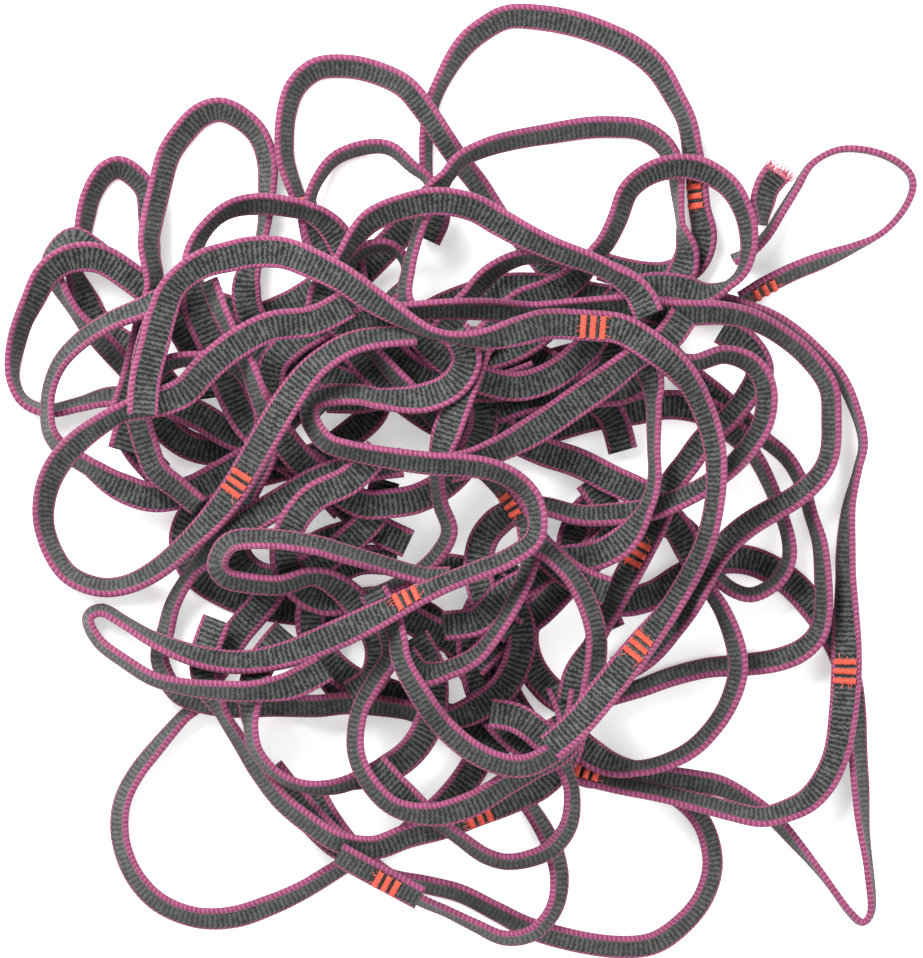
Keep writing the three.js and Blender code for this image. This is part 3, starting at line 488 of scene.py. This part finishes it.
def pad_levels(upper):
    levels = [TAPE_THICKNESS / 2 + SEAT_GAP, TAPE_THICKNESS / 2 + SEAT_GAP + TACK_THICKNESS]
    return sorted(level * upper for level in levels)


def lay_heap():
    """Every run laid in order, by name, where its route puts it."""
    heights = np.full(FIELD_SIDE * FIELD_SIDE, -np.inf)
    heap = {}
    for run in RUNS:
        line, distance = smooth_line([*run.lead, *run.route, *run.trail])
        last = len(run.lead) + len(run.route) - 1
        reach = (distance[len(run.lead) * POINTS_PER_SPAN], distance[last * POINTS_PER_SPAN])
        count = round(distance[-1] / STATION_STEP)
        spots = distance[-1] * np.arange(count + 1) / count
        stations = stations_at(line, distance, run.tilt, reach, spots)
        lay(stations, heights)
        raise_field(heights, stations, lambda sections: tape_rim(sections, 0))
        laid = Laid(line, distance, float(distance[-1]), run.tilt, reach, stations)
        heap[run.name] = laid
        for at in (at for name, at in TACKS.values() if name == run.name):
            middle = tack_centre(laid, at)
            span = stretch(stations, middle - TACK_LENGTH / 2, middle + TACK_LENGTH / 2)
            low, high = pad_levels(np.sign(span.through[0, 2]) or 1)
            raise_field(heights, span, lambda sections: rim(sections, TACK_WIDTH / 2, low, high))
    return heap


HEAP = lay_heap()


def heap_shift():
    corners = []
    for laid in HEAP.values():
        points = laid.stations.centre[:, None, :] + tape_rim(laid.stations, 0)
        corners.append(points.reshape(-1, 3))
    corners = np.concatenate(corners)
    return -(corners.min(axis=0) + corners.max(axis=0)) / 2 * np.array([1, 1, 0])


SHIFT = heap_shift()


def fine_sections(laid, s):
    """Sections anywhere along a laid run, in the frame's place, with heights eased between stations."""
    sections = stations_at(laid.line, laid.distance, laid.tilt, laid.reach, s)
    reach = np.linspace(-STATION_STEP / 3, STATION_STEP / 3, 7)
    spots = np.clip(np.asarray(s, float)[:, None] + reach, 0, laid.length)
    sections.centre[:, 2] = np.interp(spots, laid.stations.s, laid.stations.centre[:, 2]).mean(axis=1)
    return Stations(sections.s, sections.centre + SHIFT, sections.across, sections.through)


# ---------------------------------------------------------------- meshes

def make_object(name, vertices, faces, material):
    mesh = bpy.data.meshes.new(name)
    mesh.from_pydata([tuple(v) for v in np.asarray(vertices) * MM], [], faces)
    mesh.validate()
    body = bmesh.new()
    body.from_mesh(mesh)
    bmesh.ops.recalc_face_normals(body, faces=body.faces)
    body.to_mesh(mesh)
    body.free()
    mesh.shade_smooth()
    mesh.materials.append(material)
    piece = bpy.data.objects.new(name, mesh)
    bpy.context.scene.collection.objects.link(piece)
    return piece


def section_outline():
    """The tape's section: a thin core between two round edges. The last column is 1 on the edges."""
    edge_middle = TAPE_WIDTH / 2 - EDGE_WIDTH / 2
    turns = np.radians(np.linspace(100, -100, 7))
    right = [(edge_middle + EDGE_WIDTH / 2 * math.cos(a), TAPE_THICKNESS / 2 * math.sin(a), 1) for a in turns]
    core_end = edge_middle - EDGE_WIDTH * (0.5 + CORE_OVERLAP)
    core = np.linspace(core_end, -core_end, 5)
    under = [(x, -TAPE_THICKNESS / 2 + CORE_SINK, 0) for x in core]
    left = [(-x, -y, 1) for x, y, _ in right]
    over = [(-x, -y, 0) for x, y, _ in under]
    return np.array(right + under + left + over)


def ribbon(name, laid, material):
    """A run of tape with its ribs and braided edges raised in the mesh."""
    outline = section_outline()
    count = max(8, round(laid.length / (RIB_PITCH / 2)))
    sections = fine_sections(laid, np.linspace(0, laid.length, count + 1))
    beat = np.where(np.arange(count + 1) % 2 == 0, 1.0, -1.0)[:, None]
    edge = outline[None, :, 2]
    side = np.sign(outline[None, :, 0])
    x = outline[None, :, 0] + edge * side * beat * BRAID_RELIEF / 2
    relief = RIB_RELIEF * (1 - edge) - BRAID_RELIEF * edge / 2
    y = outline[None, :, 1] + np.sign(outline[None, :, 1]) * beat * relief
    points = sections.centre[:, None, :] + sections.across[:, None, :] * x[..., None]
    points = points + sections.through[:, None, :] * y[..., None]
    ring = len(outline)
    faces = []
    for i in range(count):
        for k in range(ring):
            after = (k + 1) % ring
            faces.append((i * ring + k, i * ring + after, (i + 1) * ring + after, (i + 1) * ring + k))
    faces.append(tuple(range(ring)))
    faces.append(tuple(count * ring + k for k in range(ring)))
    piece = make_object(name, points.reshape(-1, 3), faces, material)
    place = np.empty((count + 1, ring, 3))
    place[..., 0] = sections.s[:, None]
    place[..., 1] = x
    place[..., 2] = y
    layer = piece.data.attributes.new("tape_place", "FLOAT_VECTOR", "POINT")
    layer.data.foreach_set("vector", place.ravel())
    return piece, sections


class Threads:
    """Collects thin round threads into one mesh."""

    def __init__(self):
        self.vertices = []
        self.faces = []

    def add(self, points, radius, sides=6):
        points = np.asarray(points, float)
        start = len(self.vertices)
        tangents = np.gradient(points, axis=0)
        tangents /= np.linalg.norm(tangents, axis=1)[:, None]
        helper = np.array([0.31, 0.27, 0.91])
        first = np.cross(tangents, helper)
        first /= np.linalg.norm(first, axis=1)[:, None]
        second = np.cross(tangents, first)
        for i, point in enumerate(points):
            for k in range(sides):
                turn = 2 * math.pi * k / sides
                spoke = math.cos(turn) * first[i] + math.sin(turn) * second[i]
                self.vertices.append(point + radius * spoke)
        for i in range(len(points) - 1):
            for k in range(sides):
                after = (k + 1) % sides
                low = start + i * sides
                self.faces.append((low + k, low + after, low + sides + after, low + sides + k))
        self.faces.append(tuple(start + k for k in range(sides)))
        self.faces.append(tuple(start + (len(points) - 1) * sides + k for k in range(sides)))


# ---------------------------------------------------------------- materials

class Value:
    """A socket that takes part in arithmetic; each operation adds its Math node."""

    def __init__(self, tree, socket):
        self.tree = tree
        self.socket = socket

    def math(self, operation, *others, clamp=False):
        node = self.tree.nodes.new("ShaderNodeMath")
        node.operation = operation
        node.use_clamp = clamp
        for place, item in zip(node.inputs, others):
            if isinstance(item, Value):
                self.tree.links.new(item.socket, place)
            else:
                place.default_value = item
        return Value(self.tree, node.outputs[0])

    def __add__(self, other):
        return self.math("ADD", self, other)

    def __sub__(self, other):
        return self.math("SUBTRACT", self, other)

    def __rsub__(self, other):
        return self.math("SUBTRACT", other, self)

    def __mul__(self, other):
        return self.math("MULTIPLY", self, other)

    __radd__ = __add__
    __rmul__ = __mul__

    def sine(self):
        return self.math("SINE", self)

    def size(self):
        return self.math("ABSOLUTE", self)

    def held(self):
        return self.math("ADD", self, 0.0, clamp=True)

    def wave(self, pitch):
        """0 to 1 and back once in each pitch."""
        return (self * (2 * math.pi / pitch)).sine() * 0.5 + 0.5


class Finish:
    """A material being built."""

    def __init__(self, name, roughness, sheen):
        self.material = bpy.data.materials.new(name)
        self.material.use_nodes = True
        self.tree = self.material.node_tree
        self.shader = self.tree.nodes["Principled BSDF"]
        self.shader.inputs["Roughness"].default_value = roughness
        self.shader.inputs["Sheen Weight"].default_value = sheen
        self.shader.inputs["Specular IOR Level"].default_value = 0.3

    def node(self, kind, settings=(), **inputs):
        node = self.tree.nodes.new(kind)
        for key, value in dict(settings).items():
            setattr(node, key, value)
        for key, value in inputs.items():
            self.feed(node.inputs[key.replace("_", " ")], value)
        return node

    def feed(self, socket, value):
        if isinstance(value, Value):
            value = value.socket
        if isinstance(value, bpy.types.NodeSocket):
            self.tree.links.new(value, socket)
        else:
            socket.default_value = value

    def noise(self, vector, scale, detail=3.0):
        node = self.node("ShaderNodeTexNoise", Vector=vector, Scale=scale, Detail=detail)
        return Value(self.tree, node.outputs["Fac"])

    def mix(self, share, first, second):
        node = self.node("ShaderNodeMix", {"data_type": "RGBA"})
        self.feed(node.inputs[0], share)
        self.feed(node.inputs[6], first)
        self.feed(node.inputs[7], second)
        return node.outputs[2]

    def bump(self, height, distance, strength):
        node = self.node("ShaderNodeBump", Height=height, Distance=distance, Strength=strength)
        self.feed(self.shader.inputs["Normal"], node.outputs["Normal"])


def webbing_material(colours):
    """Dark ribbed core with cross yarns, painted shade between the ribs, painted highlight on their tops and
    patches of painted light; braided edges with paler bars across them, partly painted highlight where the
    braid rises.
    """
    finish = Finish("ribbed_webbing", roughness=0.72, sheen=0.12)
    place = finish.node("ShaderNodeAttribute", {"attribute_name": "tape_place"})
    parts = finish.node("ShaderNodeSeparateXYZ", Vector=place.outputs["Vector"])
    along, across, _ = (Value(finish.tree, socket) for socket in parts.outputs)
    edge = ((across.size() - (TAPE_WIDTH / 2 - EDGE_WIDTH - 0.1)) * 4).held()
    # Painted light: broad patches that lighten the core and lift the edges from their shade colour.
    light_patches = finish.noise(place.outputs["Vector"], 0.35)
    drift = finish.noise(place.outputs["Vector"], 0.9)
    grain = finish.noise(place.outputs["Vector"], 3.2)
    rib = (along + drift * 2.2).wave(RIB_PITCH)
    yarn = across.wave(YARN_PITCH)
    # Painted shade between the ribs and painted highlight on their tops, mixed with grain and the patches of
    # painted light.
    lit = (rib * 0.6 + yarn * 0.1 + grain * 0.7 + light_patches * 0.9 - 0.95).held()
    core = finish.mix(lit, colours.core_shade, colours.core_light)
    braid = (along + across.size() * 0.4).wave(RIB_PITCH)
    # Pale flecks on the braided edges, partly painted highlight where the braid's bars rise.
    fleck_highlight = ((braid * 0.8 + grain * 0.6 - 0.78) * 1.8).held()
    # Painted shade on the edges outside the patches of painted light.
    rim_colour = finish.mix((light_patches * 1.6 - 0.4).held(), colours.edge_shade, colours.edge)
    braided = finish.mix(fleck_highlight, rim_colour, colours.edge_fleck_highlight)
    finish.feed(finish.shader.inputs["Base Color"], finish.mix(edge, core, braided))
    finish.feed(finish.shader.inputs["Roughness"], 0.62 + grain * 0.25)
    finish.bump(rib * 0.6 + yarn * (1 - edge) * 0.35 + grain * 0.4 + braid * edge * 0.6, 0.00025, 0.8)
    return finish.material


def thread_material(name, dark, light):
    """Polyester thread: a twist in the bump and a change of tone from thread to thread."""
    finish = Finish(name, roughness=0.5, sheen=0.15)
    place = finish.node("ShaderNodeTexCoord").outputs["Object"]
    tone = finish.noise(place, 900.0)
    twist = finish.noise(place, 4200.0)
    finish.feed(finish.shader.inputs["Base Color"], finish.mix((tone * 1.8 - 0.4).held(), dark, light))
    finish.feed(finish.shader.inputs["Roughness"], 0.4 + twist * 0.25)
    finish.bump(twist, 0.0001, 0.6)
    return finish.material


def named_material(name, build):
    return bpy.data.materials.get(name) or build()


def webbing():
    return named_material("ribbed_webbing", lambda: webbing_material(bpy.context.scene.webbing_colours))


def tack_thread():
    colours = bpy.context.scene.webbing_colours
    name = "tack_thread"
    return named_material(name, lambda: thread_material(name, colours.tack_shade, colours.tack))


def frayed_thread():
    colours = bpy.context.scene.webbing_colours
    name = "frayed_thread"
    return named_material(name, lambda: thread_material(name, colours.edge, colours.fray))


# ---------------------------------------------------------------- settings

def colour_property(name, description, default):
    return bpy.props.FloatVectorProperty(
        name=name, description=description, default=default, size=4, min=0, max=1, subtype="COLOR")


class WebbingColours(bpy.types.PropertyGroup):
    # Painted shade between the ribs and painted highlight on their tops.
    core_shade: colour_property("Core shade", "Colour between the ribs", (0.005, 0.0055, 0.006, 1))
    core_light: colour_property("Core light", "Colour on the ribs", (0.15, 0.156, 0.15, 1))
    edge: colour_property("Edge", "Colour of the braided edges", (0.27, 0.042, 0.125, 1))
    # Painted shade on the edges, outside the patches of painted light.
    edge_shade: colour_property("Edge shade", "Darker colour of the braided edges", (0.14, 0.02, 0.066, 1))
    # Pale flecks on the edges, partly painted highlight on the braid's raised bars.
    edge_fleck_highlight: colour_property("Edge fleck", "Pale flecks in the braided edges", (0.42, 0.14, 0.25, 1))
    tack: colour_property("Tack", "Colour of the bar tack thread", (0.9, 0.13, 0.075, 1))
    tack_shade: colour_property("Tack shade", "Darker colour of the bar tack thread", (0.6, 0.055, 0.03, 1))
    fray: colour_property("Fray", "Colour of the frayed fibres", (0.9, 0.2, 0.26, 1))


class WebbingSizes(bpy.types.PropertyGroup):
    thread_radius: bpy.props.FloatProperty(
        name="Thread radius", description="Radius of a bar tack thread", default=0.22 * MM, unit="LENGTH",
        precision=5)
    bar_pitch: bpy.props.FloatProperty(
        name="Bar pitch", description="Distance between the bars of a tack", default=3.3 * MM, unit="LENGTH")
    bar_length: bpy.props.FloatProperty(
        name="Bar length", description="How far a bar reaches across the tape", default=7.8 * MM,
        unit="LENGTH")
    bar_width: bpy.props.FloatProperty(
        name="Bar width", description="Width of one bar along the tape", default=1.85 * MM, unit="LENGTH")


# ---------------------------------------------------------------- the pieces

MOST_CORDS = 38

# The bar tack threads. The spacing is in thread radii, and the rise and lean are in millimetres.
THREAD_SPACING = 1.75
THREAD_RISE = (0.5, 0.68)
THREAD_LEAN = 0.2
LOOSE_ENDS = 5

# The fibres at the cut end. Lengths are in millimetres.
FIBRES = 110
FIBRE_LENGTH = (2.0, 4.5)
FIBRE_RADIUS = 0.11


def declare_cord(sections):
    path = sections.centre[::4] * MM


class WEBBING_OT_tape_runs(bpy.types.Operator):
    """Makes every run of tape that lies still"""
    bl_idname = "webbing.tape_runs"
    bl_label = "Tape Runs"

    def execute(self, context):
        still = [name for name in HEAP if name not in LIFTED]
        longest = sorted(still, key=lambda name: -HEAP[name].length)[:MOST_CORDS]
        for name in still:
            piece, sections = ribbon(f"{name}_tape", HEAP[name], webbing())
            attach(piece, "heap")
            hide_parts(name)
            if name in longest:
                declare_cord(sections)
        return {"FINISHED"}


class WEBBING_OT_lifted_loops(bpy.types.Operator):
    """Makes the end loop and the top arch"""
    bl_idname = "webbing.lifted_loops"
    bl_label = "Lifted Loops"

    def execute(self, context):
        for name, (body, middle, outward) in LIFTED.items():
            piece, _ = ribbon(f"{name}_tape", HEAP[name], webbing())
            fold = np.array([*middle, TAPE_WIDTH]) + SHIFT
            way = np.array([*outward, 0.0]) * FOLD_HALF
            tuple((fold - way) * MM)
            tuple((fold + way) * MM)
            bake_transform(piece)
            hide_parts(name, f"{name}_root_a", f"{name}_root_b")
        return {"FINISHED"}


class WEBBING_OT_bar_tacks(bpy.types.Operator):
    """Sews each bar tack: three bars of close threads and a few loose ends"""
    bl_idname = "webbing.bar_tacks"
    bl_label = "Bar Tacks"

    def execute(self, context):
        for name, (run, at) in {**TACKS, **DEEP_TACKS}.items():
            piece = sew_tack(name, HEAP[run], at)
            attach(piece, "heap")
            if name in TACKS:
                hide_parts(name)
        return {"FINISHED"}


def surface_points(laid, s, x, level):
    """Points over the upper face of a run: level is the height over the middle of the tape."""
    sections = fine_sections(laid, np.clip(s, 0, laid.length))
    upper = np.sign(sections.through[:, 2])
    upper = np.where(upper == 0, 1, upper)
    offset = sections.across * np.asarray(x)[:, None]
    return sections.centre + offset + sections.through * (np.asarray(level) * upper)[:, None]


def sew_tack(name, laid, at):
    sizes = bpy.context.scene.webbing_sizes
    rng = random.Random(name)
    radius = sizes.thread_radius / MM
    width = sizes.bar_width / MM
    length = sizes.bar_length / MM
    middle = tack_centre(laid, at)
    threads = Threads()
    count = round(length / (radius * THREAD_SPACING))
    arc = np.linspace(-1, 1, 7)
    for bar in (-1, 0, 1):
        for k in range(count):
            x = -length / 2 + length * k / (count - 1)
            reach = width / 2 * rng.uniform(0.94, 1.05)
            s = middle + bar * sizes.bar_pitch / MM + arc * reach + rng.uniform(-0.06, 0.06)
            rise = TAPE_THICKNESS / 2 + 0.1 + rng.uniform(*THREAD_RISE) * np.sqrt(np.maximum(0, 1 - arc ** 4))
            lean = x + arc * rng.uniform(-THREAD_LEAN, THREAD_LEAN)
            threads.add(surface_points(laid, s, lean, rise), radius)
    for _ in range(LOOSE_ENDS):
        x = rng.uniform(-length / 2, length / 2)
        run = np.linspace(0, rng.uniform(3, 6), 6)
        s = middle + rng.choice((-1, 1)) * (sizes.bar_pitch / MM + run * 0.6)
        curl = x + np.sin(run * 0.7) * rng.uniform(-1.5, 1.5)
        threads.add(surface_points(laid, s, curl, TAPE_THICKNESS / 2 + 0.35 + run * 0.1), radius * 0.5, 5)
    return make_object(f"{name}_stitches", threads.vertices, threads.faces, tack_thread())


class WEBBING_OT_frayed_end(bpy.types.Operator):
    """Makes the loose fibres at the cut end of the tail"""
    bl_idname = "webbing.frayed_end"
    bl_label = "Frayed End"

    def execute(self, context):
        laid = HEAP["cut_tail"]
        end = fine_sections(laid, [laid.length - 1.0, laid.length])
        way = end.centre[1] - end.centre[0]
        rng = random.Random(7)
        threads = Threads()
        for _ in range(FIBRES):
            x = rng.uniform(-TAPE_WIDTH / 2, TAPE_WIDTH / 2)
            y = rng.uniform(-TAPE_THICKNESS / 2, TAPE_THICKNESS / 2)
            root = end.centre[0] + end.across[0] * x + end.through[0] * y
            reach = np.linspace(0, rng.uniform(*FIBRE_LENGTH), 6)[:, None]
            spread = end.across[0] * (x / TAPE_WIDTH * 0.5 + rng.uniform(-0.25, 0.25))
            rise = end.through[0] * rng.uniform(-0.15, 0.3)
            drift = np.array([rng.uniform(-1, 1), rng.uniform(-1, 1), rng.uniform(-0.2, 0.6)])
            bend = (reach / 4) ** 2 * drift
            threads.add(root + reach * (way + spread + rise) + bend, FIBRE_RADIUS, 5)
        piece = make_object("frayed_fibres", threads.vertices, threads.faces, frayed_thread())
        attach(piece, "heap")
        return {"FINISHED"}


# The stage, in metres. VIEW_WIDTH is what the camera sees at VIEW_HEIGHT over the floor.
FLOOR_SIZE = 3.0
FLOOR_DROP = 0.0003
CAMERA_HEIGHT = 3.0
VIEW_HEIGHT = 0.02
VIEW_WIDTH = 0.3175
VIEW_X = 0.0002
VIEW_Y = 0.0003


class WEBBING_OT_stage(bpy.types.Operator):
    """Sets the white floor, the soft light and the camera over the heap"""
    bl_idname = "webbing.stage"
    bl_label = "Stage"

    def execute(self, context):
        scene = context.scene
        corners = np.array([(-1, -1, 0), (1, -1, 0), (1, 1, 0), (-1, 1, 0)]) * FLOOR_SIZE / 2 / MM
        floor = make_object("floor", corners, [(0, 1, 2, 3)], white_floor())
        floor.location.z = -FLOOR_DROP
        world = bpy.data.worlds.new("soft_room")
        world.use_nodes = True
        world.node_tree.nodes["Background"].inputs["Color"].default_value = (1, 1, 1, 1)
        world.node_tree.nodes["Background"].inputs["Strength"].default_value = 0.5
        scene.world = world
        add_light("key_light", (-0.35, 0.45, 0.8), 0.5, 12.0)
        add_light("fill_light", (0.6, -0.4, 0.7), 0.7, 4.0)
        camera_data = bpy.data.cameras.new("camera")
        camera_data.sensor_fit = "HORIZONTAL"
        camera_data.angle = 2 * math.atan(VIEW_WIDTH / 2 / (CAMERA_HEIGHT - VIEW_HEIGHT))
        camera = bpy.data.objects.new("camera", camera_data)
        camera.location = (VIEW_X + SHIFT[0] * MM, VIEW_Y + SHIFT[1] * MM, CAMERA_HEIGHT)
        scene.collection.objects.link(camera)
        scene.camera = camera
        scene.render.engine = "CYCLES"
        scene.render.resolution_x = 923
        scene.render.resolution_y = 958
        scene.view_settings.view_transform = "Standard"
        scene.view_settings.exposure = 0.42
        return {"FINISHED"}


def white_floor():
    finish = Finish("white_floor", roughness=0.9, sheen=0.0)
    finish.shader.inputs["Base Color"].default_value = (0.93, 0.93, 0.93, 1)
    finish.shader.inputs["Emission Color"].default_value = (1, 1, 1, 1)
    finish.shader.inputs["Emission Strength"].default_value = 0.3
    return finish.material


def add_light(name, place, size, power):
    data = bpy.data.lights.new(name, "AREA")
    data.size = size
    data.energy = power
    light = bpy.data.objects.new(name, data)
    light.location = place
    bpy.context.scene.collection.objects.link(light)
    aim = light.constraints.new("TRACK_TO")
    target = bpy.data.objects.get("light_target")
    if target is None:
        target = bpy.data.objects.new("light_target", None)
        bpy.context.scene.collection.objects.link(target)
    aim.target = target
    aim.track_axis = "TRACK_NEGATIVE_Z"
    aim.up_axis = "UP_Y"


STEPS = [
    WEBBING_OT_stage,
    WEBBING_OT_tape_runs,
    WEBBING_OT_lifted_loops,
    WEBBING_OT_bar_tacks,
    WEBBING_OT_frayed_end,
]


class WEBBING_PT_panel(bpy.types.Panel):
    bl_label = "Webbing Chain"
    bl_idname = "WEBBING_PT_panel"
    bl_space_type = "VIEW_3D"
    bl_region_type = "UI"
    bl_category = "Webbing"

    def draw(self, context):
        for step in STEPS:
            self.layout.operator(step.bl_idname)


CLASSES = [WebbingColours, WebbingSizes, *STEPS, WEBBING_PT_panel]


def register():
    for item in CLASSES:
        bpy.utils.register_class(item)
    bpy.types.Scene.webbing_colours = bpy.props.PointerProperty(type=WebbingColours)
    bpy.types.Scene.webbing_sizes = bpy.props.PointerProperty(type=WebbingSizes)


def unregister():
    del bpy.types.Scene.webbing_sizes
    del bpy.types.Scene.webbing_colours
    for item in reversed(CLASSES):
        bpy.utils.unregister_class(item)


def main():
    register()
    bpy.ops.webbing.stage()
    bpy.ops.webbing.tape_runs()
    bpy.ops.webbing.lifted_loops()
    bpy.ops.webbing.bar_tacks()
    bpy.ops.webbing.frayed_end()
    bpy.context.view_layer.update()


if __name__ == "__main__":
    main()
